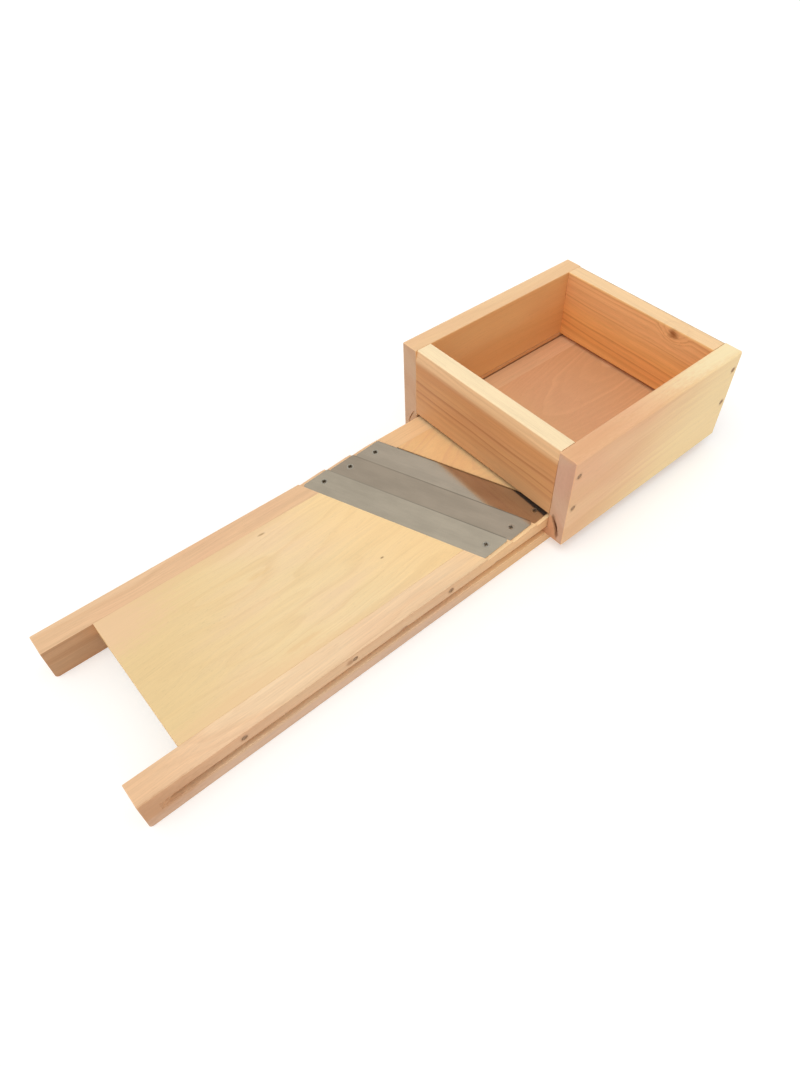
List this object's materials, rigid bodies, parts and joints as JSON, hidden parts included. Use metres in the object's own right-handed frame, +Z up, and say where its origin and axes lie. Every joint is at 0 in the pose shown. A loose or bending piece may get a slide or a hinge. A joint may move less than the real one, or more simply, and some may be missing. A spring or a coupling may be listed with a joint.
{
  "type": "cabbage shredder",
  "caption": "Wooden cabbage slicing board with skewed steel knives and an open-bottomed box that slides along grooved rails to push the cabbage over the knives.",
  "frame": {"origin": "middle of the footprint, on the surface that the rails stand on", "axes": "+X along the board from the horns towards the end where the box rests, +Y to the left, +Z up"},
  "size_m": [0.7, 0.2432, 0.127],
  "materials": {
    "rail_wood": "planed, bare",
    "front_panel_wood": "planed, bare",
    "rear_panel_wood": "planed, bare",
    "side_wall_wood": "planed, bare",
    "end_wall_wood": "planed, bare",
    "runner_wood": "planed, bare",
    "knife_steel": "stainless strip, fine ground",
    "screw_steel": "bright zinc",
    "nail_steel": "dull wire"
  },
  "bodies": {
    "board": {"left_rail": "rail_wood", "right_rail": "rail_wood", "front_panel": "front_panel_wood", "rear_panel": "rear_panel_wood", "front_knife": "knife_steel", "middle_knife": "knife_steel", "rear_knife": "knife_steel", "front_knife_screws": "screw_steel", "middle_knife_screws": "screw_steel", "rear_knife_screws": "screw_steel", "front_panel_nails": "nail_steel", "rear_panel_nails": "nail_steel"},
    "box": {"box_left_wall": "side_wall_wood", "box_right_wall": "side_wall_wood", "box_front_wall": "end_wall_wood", "box_back_wall": "end_wall_wood", "left_runner": "runner_wood", "right_runner": "runner_wood", "left_runner_nails": "nail_steel", "right_runner_nails": "nail_steel", "front_left_box_nails": "nail_steel", "front_right_box_nails": "nail_steel", "back_left_box_nails": "nail_steel", "back_right_box_nails": "nail_steel"}
  },
  "joints": [
    {"name": "box_slide", "type": "slide", "parent": "board", "child": "box", "axis": [-1, 0, 0], "range_m": [0, 0.4]}
  ]
}
